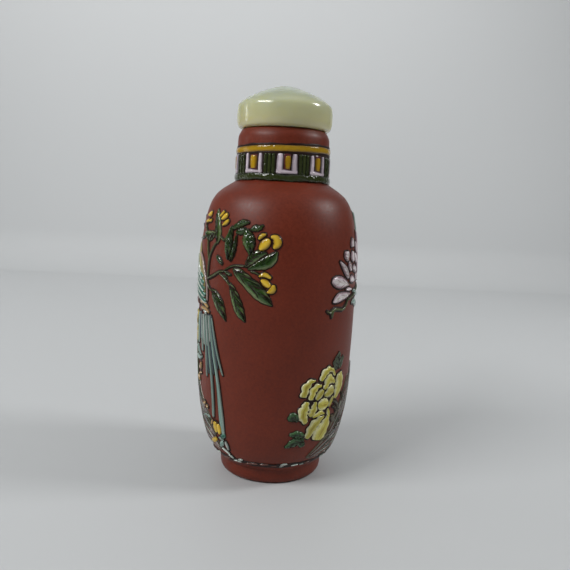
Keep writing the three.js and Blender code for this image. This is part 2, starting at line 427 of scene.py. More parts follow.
# Lead-glass enamel, painted on thick and melted: glassy, with a wavy skin, deeper in colour where it
# pools in the middle and paler or darker where it thins out at the rim. It may keep the streaks of
# the brush. Leaves are laid in two greens, the darker one in slanting strokes down one side.
def enamel(name, heart, body, rim, streak=0.0, gloss=0.09, far_side=None, wave=0.12, fade=0.86):
    material, tree, surface = new_material(name)
    place = add_node(tree, "ShaderNodeTexCoord").outputs["Object"]
    stroke = add_node(tree, "ShaderNodeUVMap", {"uv_map": "stroke"}).outputs["UV"]
    parts = add_node(tree, "ShaderNodeSeparateXYZ", None, Vector=stroke)
    along_cell, over_cell = parts.outputs["X"], parts.outputs["Y"]
    flow = add_node(tree, "ShaderNodeTexNoise", None, Vector=place, Scale=per_metre(1.1), Detail=3.0)
    wander = add_node(tree, "ShaderNodeMath", {"operation": "MULTIPLY_ADD"}, i0=flow, i1=0.5, i2=-0.25)
    signed = add_node(tree, "ShaderNodeMath", {"operation": "MULTIPLY_ADD"}, i0=over_cell, i1=2.0, i2=-1.0)
    side = add_node(tree, "ShaderNodeMath", {"operation": "ABSOLUTE"}, i0=signed)
    tip = add_node(tree, "ShaderNodeMath", {"operation": "POWER"}, i0=along_cell, i1=5.0)
    rimward = add_node(tree, "ShaderNodeMath", {"operation": "MAXIMUM"}, i0=side, i1=tip)
    edge = add_node(tree, "ShaderNodeMath", {"operation": "ADD"}, i0=rimward, i1=wander)
    colour = ramp(tree, edge, [(0.1, heart), (fade * 0.6, body), (fade, rim)])
    if far_side:
        half = add_node(tree, "ShaderNodeMath", {"operation": "ADD"}, i0=signed, i1=wander)
        dark_half = add_node(
            tree, "ShaderNodeMapRange", None, Value=half, From_Min=-0.3, From_Max=0.25, To_Min=0.1, To_Max=1.0
        )
        slant = add_node(
            tree, "ShaderNodeMath", {"operation": "MULTIPLY_ADD"}, i0=side, i1=-0.22, i2=along_cell
        )
        across = add_node(tree, "ShaderNodeCombineXYZ", None, X=slant, Y=over_cell)
        hatched = add_node(tree, "ShaderNodeMapping", None, Vector=across, Scale=(9.0, 1.2, 1.0))
        hatch = add_node(tree, "ShaderNodeTexNoise", None, Vector=hatched, Scale=1.6, Detail=2.0)
        strokes = add_node(
            tree, "ShaderNodeMapRange", None, Value=hatch, From_Min=0.4, From_Max=0.56, To_Min=0.25
        )
        dark = add_node(tree, "ShaderNodeMath", {"operation": "MULTIPLY"}, i0=dark_half, i1=strokes)
        both = add_node(
            tree, "ShaderNodeMix", {"data_type": "RGBA"}, i0=dark, i6=colour, i7=linear(far_side)
        )
        colour = both.outputs[2]
    if streak:
        stretched = add_node(tree, "ShaderNodeMapping", None, Vector=stroke, Scale=(1.2, 7.0, 1.0))
        brush = add_node(tree, "ShaderNodeTexNoise", None, Vector=stretched, Scale=2.2, Detail=3.0)
        lines = ramp(tree, brush, [(0.38, "#4a4a4a"), (0.6, "#b4b4b4")])
        overlay = {"data_type": "RGBA", "blend_type": "OVERLAY"}
        mixed = add_node(tree, "ShaderNodeMix", overlay, i0=streak, i6=colour, i7=lines)
        colour = mixed.outputs[2]
    tone = add_node(tree, "ShaderNodeAttribute", {"attribute_name": "tone"})
    depth = add_node(tree, "ShaderNodeMapRange", None, Value=tone.outputs["Fac"], To_Min=0.84, To_Max=1.12)
    varied = add_node(tree, "ShaderNodeHueSaturation", None, Value=depth, Color=colour)
    ripple = add_node(tree, "ShaderNodeTexNoise", None, Vector=place, Scale=per_metre(0.7), Detail=2.0)
    bump = add_node(tree, "ShaderNodeBump", None, Height=ripple, Strength=0.5, Distance=wave * MM)
    tree.links.new(varied.outputs["Color"], surface.inputs["Base Color"])
    tree.links.new(bump.outputs["Normal"], surface.inputs["Normal"])
    surface.inputs["Roughness"].default_value = gloss
    surface.inputs["IOR"].default_value = 1.52
    return material


# The drawing line: a thin dark brown-black wash of iron and manganese, only half glassy.
dark_line = enamel("iron and manganese line, painted and fired", "#220e08", "#220f09", "#28120b", gloss=0.45)
dark_line.node_tree.nodes["Principled BSDF"].inputs["Specular IOR Level"].default_value = 0.2


# ---- the flowering branch -----------------------------------------------------------------------
# A branch leans over the front from the left, with leaves hanging from short stalks and clusters of
# round yellow buds at its tips. Every leaf and bud is its own drop of enamel.

# Copper green: yellow-green and glassy in the leaf, with one dark hatched side and a milky rim.
leaf_green = enamel(
    "copper green enamel, fired", "#30521a", "#416328", "#8a9766",
    streak=0.6, far_side="#161f08", wave=0.25, fade=0.88,
)
# The same green laid so thick that it pools: very glossy, with a lumpy skin that breaks up the light.
pooled_green = enamel(
    "copper green enamel, pooled and fired", "#30521a", "#3a5a24", "#6f8050",
    streak=0.6, gloss=0.05, far_side="#161f08", wave=0.8, fade=0.9,
)
# Olive and antimony yellow: nearly opaque, the stalks duller and streaky, the buds bright and smooth.
stem_green = enamel("olive enamel, fired", "#55622f", "#5d683e", "#4a4430", gloss=0.2, streak=0.7)
bud_yellow = enamel("antimony yellow enamel, fired", "#dcb83a", "#cfa82c", "#9c7a22")

branch_stems = [
    drawn((-56.6, 41.6, 0.55), (-56.3, 44, 0.45), (-55.2, 45.8, 0.45), (-51, 47.8, 0.5), (-47.4, 48.7, 0.35)),
    drawn((-56, 45, 0.3), (-58.4, 47.4, 0.35), (-59.6, 49.4, 0.3)),
    drawn((-57.4, 41.3, 0.6), (-50.3, 42.1, 0.55), (-43.4, 43.1, 0.45), (-38.6, 43.3, 0.25)),
    drawn((-39.6, 43.3, 0.2), (-35.6, 44, 0.22), (-30.6, 44.6, 0.25), (-22.6, 44.7, 0.3)),
    drawn((-43, 42.8, 0.35), (-39, 42.2, 0.35), (-35.6, 41.5, 0.35), (-33, 40.7, 0.3)),
    drawn((-57.2, 41, 0.35), (-54.4, 39.7, 0.35), (-50.2, 39.2, 0.3)),
    drawn((-45.4, 50, 0.3), (-40.6, 49.2, 0.3), (-37, 50.6, 0.25)),
    drawn((-61.5, 50.4, 0.25), (-66, 51.2, 0.25), (-66.6, 52.2, 0.2)),
    drawn((-66, 49.6, 0.3), (-70, 49.2, 0.4), (-77, 48.9, 0.4)),
    drawn((-18, 43.8, 0.2), (-14, 43.6, 0.25), (-12, 43.2, 0.2)),
]
branch_leaves = [
    drawn((-31, 44, 0.5), (-27, 43.3, 1.9), (-20.5, 41.9, 2.2), (-13, 40.2, 2.6), (-7.5, 38.8, 1.9),
          (-3, 37.7, 0.2)),
    drawn((-22, 44.6, 0.4), (-18.5, 45.9, 1.5), (-14, 47, 1.6), (-8, 47.4, 0.4)),
    drawn((-20, 44.2, 0.5), (-15, 44.8, 1.2), (-9.5, 45.4, 2.1), (-4.4, 46.4, 2.0), (-1.2, 47.7, 0.5),
          rise=0.26),
    drawn((-33.4, 41.2, 0.4), (-31, 40, 1.3), (-27.6, 37.8, 1.9), (-24.4, 35.8, 1.7), (-20.8, 34.3, 0.2)),
    drawn((-50.6, 39.4, 0.4), (-47.6, 38.6, 1.8), (-43, 37, 2.4), (-39.4, 35.5, 1.6), (-35.8, 33.9, 0.2)),
    drawn((-47.4, 48.4, 0.6), (-47.8, 50, 1.9), (-49.5, 51.8, 1.8), (-51.6, 53.6, 1.4), (-53, 54.9, 0.3)),
    drawn((-50.4, 50.2, 0.5), (-54, 50, 1.4), (-58, 49.6, 1.9), (-62, 49.8, 1.7), (-67.4, 50.2, 0.4)),
    drawn((-47, 46, 0.5), (-44, 45.4, 1.0), (-40.8, 44.6, 0.4)),
    drawn((-38, 43.4, 0.2), (-35.8, 43, 0.5), (-32.6, 42.8, 0.2)),
    drawn((-39.4, 42.6, 0.3), (-37.6, 42.2, 0.5), (-36, 42.1, 0.2)),
]
arc_leaves = [
    drawn((-34.6, 51.9, 0.5), (-36, 49.8, 1.5), (-36.4, 47.8, 1.7), (-36.2, 45.7, 0.4)),
    drawn((-30.2, 50.2, 0.3), (-31, 48.2, 0.6), (-32.4, 46.6, 0.7), (-34, 45.4, 0.2)),
    drawn((-34.4, 51.4, 0.4), (-30.4, 52.1, 1.0), (-26, 52.7, 1.0), (-21.6, 52.8, 0.4)),
    drawn((-30.6, 50.8, 0.5), (-27, 51.1, 1.2), (-23.6, 51.5, 0.7)),
    drawn((-22.6, 51.5, 0.7), (-21.3, 50, 2.3), (-20, 48.6, 2.1), (-19, 46.8, 0.3)),
    drawn((-19.8, 51.4, 0.5), (-17, 51.8, 1.1), (-14, 51.9, 0.9), (-11.4, 52.4, 0.2)),
]
branch_buds = [
    drawn((-13.8, 49.8, 0.5), (-11.8, 50.5, 0.85), (-9, 50.8, 0.4)),
    petal((-12.9, 47.9), (-6.4, 49.9), 1.7, swell=0.1),
    drawn((-5.8, 50.4, 0.6), (-2.4, 50.2, 1.3), (-1.2, 49.2, 1.6), (-3.6, 48.3, 0.8)),
    drawn((-12.4, 43, 0.4), (-8.6, 43.4, 0.9), (-4.4, 42.8, 0.6)),
    drawn((-10.8, 42.4, 0.6), (-8, 41.9, 1.3), (-4.8, 41.2, 1.0)),
    drawn((-6.6, 40.1, 0.4), (-3.4, 40.6, 1.3), (-2.4, 41.6, 0.7)),
    petal((-48.4, 53.5), (-44.8, 54.6), 0.7),
    petal((-46.2, 53), (-40.8, 54.1), 1.1),
    petal((-44, 51.9), (-38.4, 53), 0.9),
    petal((-67.4, 53.6), (-61, 54.1), 1.1),
    petal((-69.4, 52.3), (-63, 52.7), 0.8),
    petal((-62.6, 52.4), (-58.8, 52.8), 0.6),
]


def beside(line, share, across):
    """The place, as an angle and a height, on a cell at shares of its length and of its half width."""
    point, side, width = along(flat_line(line), share)
    place = point + side * across * width / 2
    return degrees(place.x / belly_radius), place.y


def thin_stroke(line, stations):
    """A fine stroke on a cell: a station is shares of its length and half width, and its own width."""
    return drawn(*((*beside(line, share, across), width) for share, across, width in stations))


def veins(blade, pairs, weight):
    """The midrib and side veins of a leaf, the side veins longer on one side than on the other."""
    line = blade["line"]
    strokes = [thin_stroke(line, [(share, 0, weight * (1.1 - share)) for share in (0.05, 0.3, 0.6, 0.85)])]
    for i in range(pairs):
        for way, reach in ((-1, 0.5 + 0.14 * sin(i * 2.6)), (1, 0.86)):
            root = 0.1 + (0.68 + 0.06 * way) * i / pairs + 0.03 * sin(i * 4.1 + way)
            strokes.append(thin_stroke(line, [
                (root, 0.14 * way, weight * 0.7),
                (root + 0.09, 0.55 * way * reach, weight * 1.1),
                (root + 0.16, way * reach, weight * 0.4),
            ]))
    return strokes


def lay_veins(name, blades, material, pairs=4, weight=0.26):
    """Lays the veins of some leaves or petals as fine strokes over their enamel."""
    strokes = [stroke for blade in blades for stroke in veins(blade, pairs, weight)]
    lay(name, strokes, material, base=0.31, rise=0.15, steps=8, strips=2)


lobed_leaves = [{"frill": 6, "depth": 0.12, **blade} for blade in branch_leaves]
thick_leaves = [{"frill": 5, "depth": 0.14, "rise": 0.6, **blade} for blade in arc_leaves]
outlined("branch_stems", branch_stems, stem_green, line=0.2)
outlined("branch_leaves", lobed_leaves, leaf_green, line=0.2, steps=28)
outlined("arc_leaves", thick_leaves, pooled_green, line=0.2, steps=28)
outlined("branch_buds", branch_buds, bud_yellow, line=0.24)
lay_veins("branch_veins", branch_leaves[:2] + branch_leaves[3:7], dark_line)


# ---- the bird -----------------------------------------------------------------------------------
# A long-tailed bird perches at the left with its back to the branch: a yellow neck, a wing of
# green and white feathers edged in black, a pale line down its back, a tan rump and pale
# turquoise tail ribbons that fall almost to the foot.

# The white and the tan lie even. The others keep the streaks of the brush, which look like feathers.
straw_yellow = enamel("straw yellow enamel, fired", "#d2c26a", "#c2b05a", "#9a9260", streak=0.5)
tin_white = enamel("tin white enamel, fired", "#d2d4cc", "#c2c8c0", "#8f9c94")
wing_green = enamel("turquoise green enamel, fired", "#215c4a", "#357a66", "#7ba896", streak=0.6)
rump_tan = enamel("tan enamel, fired", "#c09a62", "#b08c5c", "#8b7350")
pale_turquoise = enamel("pale turquoise enamel, fired", "#8fb3a6", "#98baae", "#aebdb4", streak=0.7)
back_pink = enamel("rose-grey enamel, fired", "#c0a8a2", "#b39c96", "#8c7670", streak=0.4)
slate_blue = enamel("slate blue enamel, fired", "#495860", "#56656d", "#76838b", streak=0.6)

bird_body = [
    drawn((-60, 36.4, 1.2), (-68, 39, 4.6), (-78, 42.6, 6.8), (-90, 45.6, 6.2), (-98, 48, 3.6)),
    drawn((-93, 46.8, 2.6), (-98, 49.2, 3.6), (-104, 51.4, 2.6)),
]
bird_beak = [drawn((-105.6, 51.6, 1.0), (-108.4, 52.2, 0.7), (-111, 52.4, 0.15))]
bird_crest = [leaf((-99.6, 51), (-93, 53.6), 0.7, 0.2), leaf((-97.6, 50.2), (-90.6, 51.8), 0.6, 0.2)]
bird_eye = [petal((-102.9, 51), (-101.5, 51), 0.42, swell=0.0)]
bird_eye_ring = [petal((-103.8, 51), (-100.6, 51), 0.9, swell=0.0)]
feather_rows, shoulder_rows = 5, 4  # long feathers down the wing, and short ones at its shoulder


def feathers(rows, *line):
    """Rows of like feathers: a station is an angle and its step, a height and its drop, and a width."""
    return [
        drawn(*((angle + step * i, height - drop * i, width) for angle, step, height, drop, width in line))
        for i in range(rows)
    ]


wing_feathers = feathers(
    feather_rows, (-88, 1.5, 44, 1.3, 0.5), (-76, 1.2, 42.7, 1.25, 1.0), (-64, 1.5, 41.4, 1.15, 0.8)
)
wing_bars = feathers(
    feather_rows, (-86, 1.5, 43.2, 1.28, 0.3), (-74, 1, 42.1, 1.22, 0.42), (-64.4, 1.6, 40.9, 1.12, 0.3)
) + feathers(
    shoulder_rows, (-84, 4.2, 45.6, 0.8, 0.3), (-80.6, 4, 44.4, 0.9, 0.36), (-80, 4, 43.4, 0.9, 0.25)
)
wing_black = feathers(
    feather_rows, (-85, 1.4, 42.8, 1.28, 0.4), (-73, 1, 41.7, 1.22, 0.5), (-63.8, 1.5, 40.5, 1.1, 0.4)
)
back_line = [
    drawn((-75, 46.2, 0.4), (-66.4, 44.7, 0.5), (-63.4, 43, 0.5), (-59.6, 41.4, 0.55), (-57, 39.7, 0.5),
          (-56.2, 36.9, 0.4)),
]
rump = [
    drawn((-54.6, 35.7, 0.5), (-61, 36.4, 0.8), (-68, 36.4, 1.0)),
    drawn((-53, 34.7, 0.5), (-58, 35.2, 0.8), (-66, 35.2, 0.9)),
]
rump_tufts = [
    drawn((-60.8, 34.8, 0.5), (-58.4, 34.6, 0.7), (-56.8, 34.2, 0.3)),
    drawn((-67, 36.9, 0.3), (-62, 36.9, 0.4), (-57.4, 36.4, 0.3)),
]
tail_ribbons = [
    drawn((-52, 34.3, 0.22), (-50.3, 31, 0.34), (-47.4, 26.8, 0.55), (-43.6, 22.4, 0.7), (-41.6, 18.6, 0.95),
          (-40.8, 15.2, 1.3), (-40.7, 12.6, 1.45), (-40.6, 9.6, 1.1)),
    drawn((-55.6, 34, 0.22), (-54, 30, 0.34), (-52, 26.2, 0.5), (-50, 22.6, 0.66), (-48.9, 19, 0.7),
          (-48.9, 16, 0.72), (-50.2, 13.4, 0.95)),
    drawn((-49.8, 33.8, 0.22), (-46.6, 30.4, 0.3), (-42.4, 26.4, 0.36), (-37.7, 22.9, 0.3)),
    drawn((-58.4, 33.8, 0.35), (-58, 30, 0.45), (-56.6, 26.6, 0.45), (-56, 21.6, 0.35)),
    drawn((-64, 33, 0.5), (-63.4, 29.6, 0.6), (-62.8, 26.4, 0.5)),
    drawn((-70, 34, 0.6), (-71, 30.6, 0.7), (-72, 27.6, 0.5)),
]
tail_slate = [
    drawn((-60.8, 34, 0.35), (-60, 31, 0.4), (-59.4, 28.6, 0.3)),
    drawn((-53.8, 34.4, 0.3), (-52.2, 31.6, 0.36), (-49.6, 27, 0.36), (-47, 22.6, 0.2)),
    drawn((-50.6, 34.2, 0.26), (-48.6, 31.2, 0.3), (-45.2, 27.2, 0.3), (-42.4, 24, 0.16)),
    drawn((-57.2, 34, 0.3), (-56, 30.6, 0.36), (-54.6, 26.6, 0.34), (-53, 22.4, 0.2)),
    drawn((-66.6, 34.4, 0.6), (-67, 31.6, 0.7), (-67.4, 28.8, 0.5)),
]
tail_lines = [
    drawn((-52.6, 34.2, 0.12), (-51.6, 32, 0.2), (-50.2, 29, 0.14)),
    drawn((-56.2, 34.2, 0.12), (-55, 31.4, 0.18), (-53.8, 28, 0.12)),
    drawn((-59.6, 34.2, 0.14), (-59.2, 31.4, 0.2), (-58.4, 28, 0.14)),
    drawn((-62.4, 34, 0.2), (-62, 31.4, 0.26), (-61.2, 29, 0.16)),
]
over = {"base": 0.28, "rise": 0.22, "steps": 10, "strips": 4}
outlined("bird_body", bird_body, straw_yellow)
outlined("bird_crest", bird_crest, slate_blue)
outlined("bird_beak", bird_beak, rump_tan)
lay("bird_eye_ring", bird_eye_ring, tin_white, **over)
lay("bird_eye", bird_eye, dark_line, base=0.42, rise=0.2, steps=8, strips=4)
lay("wing_black", wing_black, dark_line, base=0.26, rise=0.14, steps=10, strips=4)
lay("wing_feathers", wing_feathers, wing_green, **over)
lay("wing_bars", wing_bars, tin_white, base=0.32, rise=0.24, steps=10, strips=4)
outlined("bird_rump", rump, rump_tan)
outlined("bird_tufts", rump_tufts, tin_white)
outlined("bird_back_line", back_line, back_pink)
outlined("bird_tail_slate", tail_slate, slate_blue)
outlined("bird_tail", tail_ribbons, pale_turquoise)
lay("tail_lines", tail_lines, tin_white, base=0.34, rise=0.16, strips=2)


# ---- the peony ----------------------------------------------------------------------------------
# A full yellow peony at the lower right: a heart of small petals inside wide frilled ones that
# pale to cream at their edges, with lobed green leaves beside it.

# Lemon that thins to cream at the frilled rim, streaked from the root outwards, over a dark ground.
# The leaves are a deep green, and those round the bud are greyer, with more streaks.
peony_yellow = enamel("lemon enamel with a cream edge, fired", "#c6be34", "#d0ca64", "#e4e2c4", streak=0.7)
peony_leaf = enamel("deep copper green enamel, fired", "#264a26", "#34582f", "#4a6a46", streak=0.5, wave=0.08)
bud_leaf = enamel("grey-green enamel, fired", "#46543a", "#57644a", "#828a74", streak=0.9)
peony_petals = [
    drawn((30.2, 23.1, 0.4), (27, 22.9, 1.0), (23.8, 22.1, 1.6), (22.5, 21, 1.6), (21.8, 19.9, 2.0), frill=3),
    drawn((35.8, 21.9, 0.6), (32.6, 21.8, 1.1), (29.8, 21.2, 1.5), (28.4, 20.3, 1.4), (28, 19.2, 1.4),
          frill=3),
    petal((32.2, 19.1), (37.9, 20.9), 1.6, swell=0.0),
    drawn((35.4, 22.8, 1.2), (36.8, 23.8, 1.6), (39.8, 24.6, 1.5), (42.8, 24.9, 1.0), (45.8, 24.5, 0.8),
          (48.8, 23.4, 0.7), frill=4),
    drawn((38.8, 21, 1.1), (40.8, 22, 1.6), (43, 22.8, 2.0), (46, 22.5, 1.3), (49, 22, 0.8), frill=4),
    drawn((39.4, 19.7, 0.9), (42.6, 20, 1.8), (45.4, 20.3, 2.4), (48, 19.9, 1.7), frill=3, depth=0.3),
    petal((34.3, 17.8), (44.2, 17.9), 2.5, swell=0.0, frill=4, depth=0.2),
    drawn((31.4, 18.7, 0.9), (31.3, 17.5, 1.4), (30, 16.6, 1.8), (28, 15.8, 1.3), frill=3),
    drawn((24.6, 18.9, 1.4), (24, 17.9, 1.8), (22.6, 16.8, 2.2), (23.2, 15.6, 1.9), (26, 14.5, 1.3), frill=4),
    drawn((31, 15.5, 0.5), (35, 15.9, 1.0), (38, 16.1, 1.0), (41.2, 15.9, 0.4), frill=2, depth=0.1),
    drawn((41.4, 15.4, 0.5), (37.2, 14.6, 1.6), (33, 13.6, 2.3), (30.4, 12.4, 2.1), (28.2, 11, 1.7), frill=4),
    drawn((45.3, 15.2, 0.8), (45.2, 14.1, 2.4), (44, 13, 3.4), (42, 12, 4.0), (40.2, 11, 4.3),
          (39.4, 10.1, 4.0), frill=4),
    drawn((51, 18.5, 0.9), (54, 20, 2.5), (55.8, 21.6, 3.1), (54.2, 23.6, 2.5), frill=5),
    drawn((45.2, 17.1, 0.4), (46.8, 18, 0.9), (48.8, 19.1, 0.5)),
    drawn((44.4, 16.7, 0.4), (45.6, 15.9, 0.9), (47.4, 14.8, 0.4)),
]
peony_ground = [
    drawn((25, 18.2, 3.0), (31, 18.6, 5.4), (40, 19, 6.4), (47.6, 20.6, 4.2)),
    drawn((34, 13.6, 2.0), (40, 14.8, 2.4), (46, 16.8, 2.0)),
]
peony_leaves = [
    drawn((19.4, 15.2, 0.9), (15.4, 15.9, 1.9), (11.8, 15.4, 0.8), frill=3, depth=0.14),
    drawn((26.2, 11.4, 0.9), (20, 12.1, 1.5), (13.8, 12.2, 0.6), frill=3, depth=0.18),
    drawn((26, 10.7, 1.0), (18.6, 10.4, 1.9), (11.2, 9.4, 0.4), frill=4, depth=0.2),
    drawn((22, 10.6, 1.0), (24.8, 9.9, 1.5), (27.2, 9.6, 0.6), frill=3, depth=0.16),
]
bud_leaves = [
    drawn((50.2, 24.5, 0.9), (51, 26, 2.0), (52, 28, 0.5), frill=3),
    drawn((48.4, 24.8, 0.5), (47.6, 25.8, 0.9), (48.2, 27, 0.4), frill=2),
    drawn((53.6, 24.6, 0.6), (55.6, 25.9, 1.1), (57.4, 27, 0.4), frill=2),
]
lay("peony_ground", peony_ground, dark_line, rise=0.1)
outlined("peony_leaves", peony_leaves, peony_leaf, line=0.16, steps=24)
outlined("bud_leaves", bud_leaves, bud_leaf, line=0.18)
outlined("peony_petals", peony_petals, peony_yellow, steps=32)
lay_veins("peony_veins", peony_leaves + bud_leaves[:1], dark_line, pairs=3, weight=0.16)


# ---- the magnolia -------------------------------------------------------------------------------
# A white magnolia at the upper right, its long petals fanned out from a thin olive stem, veined in
# rose, with a few pale turquoise leaves below and above.

# White that thins to rose at its rim, with the streaks of the brush down each petal.
magnolia_white = enamel(
    "rose-tinted white enamel, fired", "#efeae9", "#e2d9dc", "#bfa9b1", streak=0.8, wave=0.14, fade=0.9
)
magnolia_petals = [
    drawn((55.6, 46, 0.4), (55.2, 46.9, 1.8), (55, 47.9, 1.9)),
    drawn((57.8, 42.6, 0.7), (55, 43.9, 1.5), (51, 45, 1.1), (46.6, 46, 0.3)),
    drawn((58, 45.8, 0.5), (60, 45, 1.1), (61.6, 44, 0.6)),
    drawn((58.6, 41.3, 0.3), (54, 41.6, 1.6), (48, 41.9, 2.4), (42.5, 42.2, 2.0), (39.4, 42.4, 0.9)),
    drawn((61.4, 39.5, 0.3), (55, 39.3, 1.4), (48, 39, 1.8), (43.6, 38.5, 1.3), (41, 38.2, 0.3)),
    drawn((55, 40.4, 0.3), (59, 40.4, 0.8), (63.6, 40.3, 0.3)),
    drawn((64.2, 50.4, 0.3), (64.4, 49.5, 1.6), (64.8, 48.7, 1.9)),
    drawn((63.8, 47.8, 1.2), (64.6, 46.9, 1.8), (66, 45.8, 0.8)),
    drawn((60.6, 42.1, 0.7), (64, 42.3, 1.5), (68.4, 42, 1.1)),
    drawn((65, 44.4, 0.7), (69, 44.4, 1.4), (73, 43.8, 0.9)),
    drawn((68.6, 47.2, 0.8), (72, 46.6, 1.5), (75, 45.4, 0.6)),
    drawn((70, 49.6, 0.5), (73, 48.8, 1.4), (76, 47.4, 0.7)),
    drawn((77, 51.8, 0.4), (79, 49.6, 2.0), (80, 46.6, 2.0), (79, 44, 0.7)),
    drawn((88, 50.4, 0.4), (87, 48.2, 1.9), (84.4, 45.8, 1.8), (82, 43.6, 0.7)),
    drawn((98, 48.6, 0.4), (95, 46.8, 2.0), (90, 44.8, 1.9), (85, 42.8, 0.7)),
    drawn((104, 43.8, 0.6), (98, 43.4, 2.1), (91, 42.6, 1.8), (85.4, 41.4, 0.6)),
    drawn((101, 38.8, 0.5), (95, 39.6, 1.7), (89, 40.4, 1.4), (84, 40.8, 0.5)),
    drawn((72, 42, 0.7), (76, 42.6, 1.7), (80.6, 42.2, 1.0)),
]
magnolia_leaves = [
    drawn((65.6, 37.4, 0.4), (71, 37.6, 1.1), (78, 37, 1.3), (86, 36, 0.4)),
    drawn((66.6, 39.8, 0.3), (72, 39.6, 1.0), (79, 38.9, 1.0), (84, 38.4, 0.3)),
    drawn((86, 55.4, 0.4), (89, 54, 1.6), (91, 52, 1.4), (91.4, 50.6, 0.4)),
    drawn((96, 54.4, 0.4), (95, 52.6, 1.4), (93.4, 51, 0.5)),
]
magnolia_stems = [
    drawn((58.6, 38.8, 0.25), (57, 38, 0.4), (54.4, 36.9, 0.5), (50, 36.5, 0.5), (44, 36.9, 0.55),
          (40.6, 36.4, 0.75), (38.4, 36.2, 0.5), (35.8, 36.6, 0.3)),
    drawn((41.4, 36.5, 0.6), (40.6, 35.9, 0.6), (40.4, 35.2, 0.25)),
    drawn((59, 38.4, 0.35), (66, 38.8, 0.45), (76, 39.8, 0.5), (84, 40.6, 0.6)),
]
outlined("magnolia_stems", magnolia_stems, stem_green)
outlined("magnolia_leaves", magnolia_leaves, pale_turquoise)
outlined("magnolia_petals", magnolia_petals, magnolia_white)
lay_veins("magnolia_veins", magnolia_petals[:5], back_pink, pairs=3, weight=0.14)


# ---- the rocks ----------------------------------------------------------------------------------
# Both pictures stand on pierced garden rocks: a mass of mixed grey-green enamel without outlines,
# brushed over with many fine light and dark streaks that follow its curve.

# The ground and the dark, brown and lilac strokes are mixed colours that fire duller than the leaves.
# Only the pale strokes are glassy.
rock_grey = enamel(
    "grey-green enamel, mixed and fired", "#52482d", "#5e553a", "#6e6553", streak=0.9, gloss=0.22
)
rock_dark = enamel("dark bottle green enamel, fired", "#262e20", "#2c3324", "#33382c", gloss=0.2)
rock_light = enamel("pale celadon enamel, fired", "#9ba592", "#a9af9c", "#b5b5a9", streak=0.5)
rock_brown = enamel("earth brown enamel, fired", "#74473a", "#6b443a", "#583c34", gloss=0.2)
rock_lilac = enamel("lilac grey enamel, fired", "#94898e", "#8a8085", "#767074", gloss=0.2)

right_rock = [
    drawn((33, 6.2, 1.0), (42, 7.1, 3.4), (52, 8.2, 5.8), (64, 9, 7.4), (78, 9.4, 8.6), (94, 9.4, 8.2),
          (110, 9, 6.8), (126, 8, 4.8), (138, 7, 2.2)),
    drawn((52, 10.6, 1.6), (58, 12.6, 3.8), (65.5, 15.6, 4.6), (71, 19, 4.0), (74, 22.2, 2.0)),
    drawn((72, 12, 3.0), (78, 15.4, 5.0), (85, 19.6, 4.6), (89, 24, 2.2)),
    drawn((88, 12, 4.0), (96, 15.6, 5.4), (101, 20, 4.0), (103, 24.6, 1.6)),
    drawn((106, 11, 4.0), (113, 14.4, 4.4), (117, 18, 2.4)),
]
left_rock = [
    drawn((-46, 6.4, 0.9), (-55, 8.4, 3.6), (-68, 9.2, 6.6), (-82, 9.6, 8.2), (-96, 9.6, 7.8), (-112, 9, 6.4),
          (-128, 8, 4.4), (-138, 7, 2.0)),
    drawn((-50, 9.6, 1.6), (-57, 11.4, 3.4), (-66, 13.6, 4.0), (-74, 16.4, 3.4), (-79, 19.4, 1.8)),
    drawn((-76, 12, 4.0), (-85, 15.6, 5.4), (-92, 19.6, 4.4), (-95, 24, 1.8)),
    drawn((-96, 12, 4.0), (-104, 15, 4.6), (-109, 18.4, 2.4)),
]


def brushed(mass, per_mm, weight, lean):
    """Fine strokes brushed along a mass of rock, so many to a millimetre, each part of its length."""
    middle = mass["line"]
    count = max(2, round(per_mm * max(width for _, _, width in middle)))
    strokes = []
    for i in range(count):
        across = 1.8 * ((i + 0.5 + 0.3 * sin(i * 3.7 + lean)) / count - 0.5)
        begin = 0.02 + 0.4 * abs(sin(i * 2.1 + lean))
        reach = 0.75 + 0.25 * sin(i * 1.3 + lean)
        stations = []
        for part, full in enumerate((0.3, 0.9, 1.1, 0.8, 0.3)):
            share = begin + (0.98 - begin) * part / 4 * reach
            sway = 0.82 + 0.18 * sin(part * 1.9 + i + lean)
            stations.append((share, across * sway, weight * full))
        strokes.append(thin_stroke(middle, stations))
    return strokes


hollows = [
    drawn((71, 11, 0.8), (74, 12.4, 1.7), (76, 14, 0.9)),
    drawn((90, 12, 1.0), (94, 13.4, 2.0), (97, 15, 0.9)),
    drawn((103, 8.4, 0.8), (107, 9.4, 1.6), (111, 9.6, 0.8)),
    drawn((-74, 11.2, 0.8), (-79, 12.8, 1.8), (-82, 14.8, 0.9)),
    drawn((-94, 9, 0.8), (-99, 10, 1.9), (-104, 9.8, 0.9)),
]
rocks = right_rock + left_rock
lay("rock_ground", rocks, rock_grey, rise=0.3, strips=12)
lay("rock_hollows", hollows, dark_line, base=0.2, rise=0.12)
for name, per_mm, weight, lean, material in (
    ("rock_dark_streaks", 1.9, 0.36, 0.4, rock_dark),
    ("rock_light_streaks", 0.9, 0.24, 2.0, rock_light),
    ("rock_brown_streaks", 1.1, 0.34, 4.1, rock_brown),
    ("rock_lilac_streaks", 0.8, 0.3, 5.3, rock_lilac),
):
    streaks = [stroke for mass in rocks for stroke in brushed(mass, per_mm, weight, lean)]
    lay(name, streaks, material, base=0.2, rise=0.17, strips=3)
twigs = [
    drawn((49.4, 18.1, 0.3), (53, 17.6, 0.5), (56, 16.9, 0.6), (58, 15.6, 0.4)),
    drawn((50, 16.8, 0.25), (53.6, 16.4, 0.35), (56, 15.4, 0.3)),
    drawn((49.6, 14.6, 0.6), (52.8, 14.2, 1.2), (56, 13.2, 0.8)),
    drawn((61, 19, 0.3), (64.6, 18, 0.6), (66.4, 16.6, 0.4)),
]
outlined("rock_twigs", twigs, rock_grey)


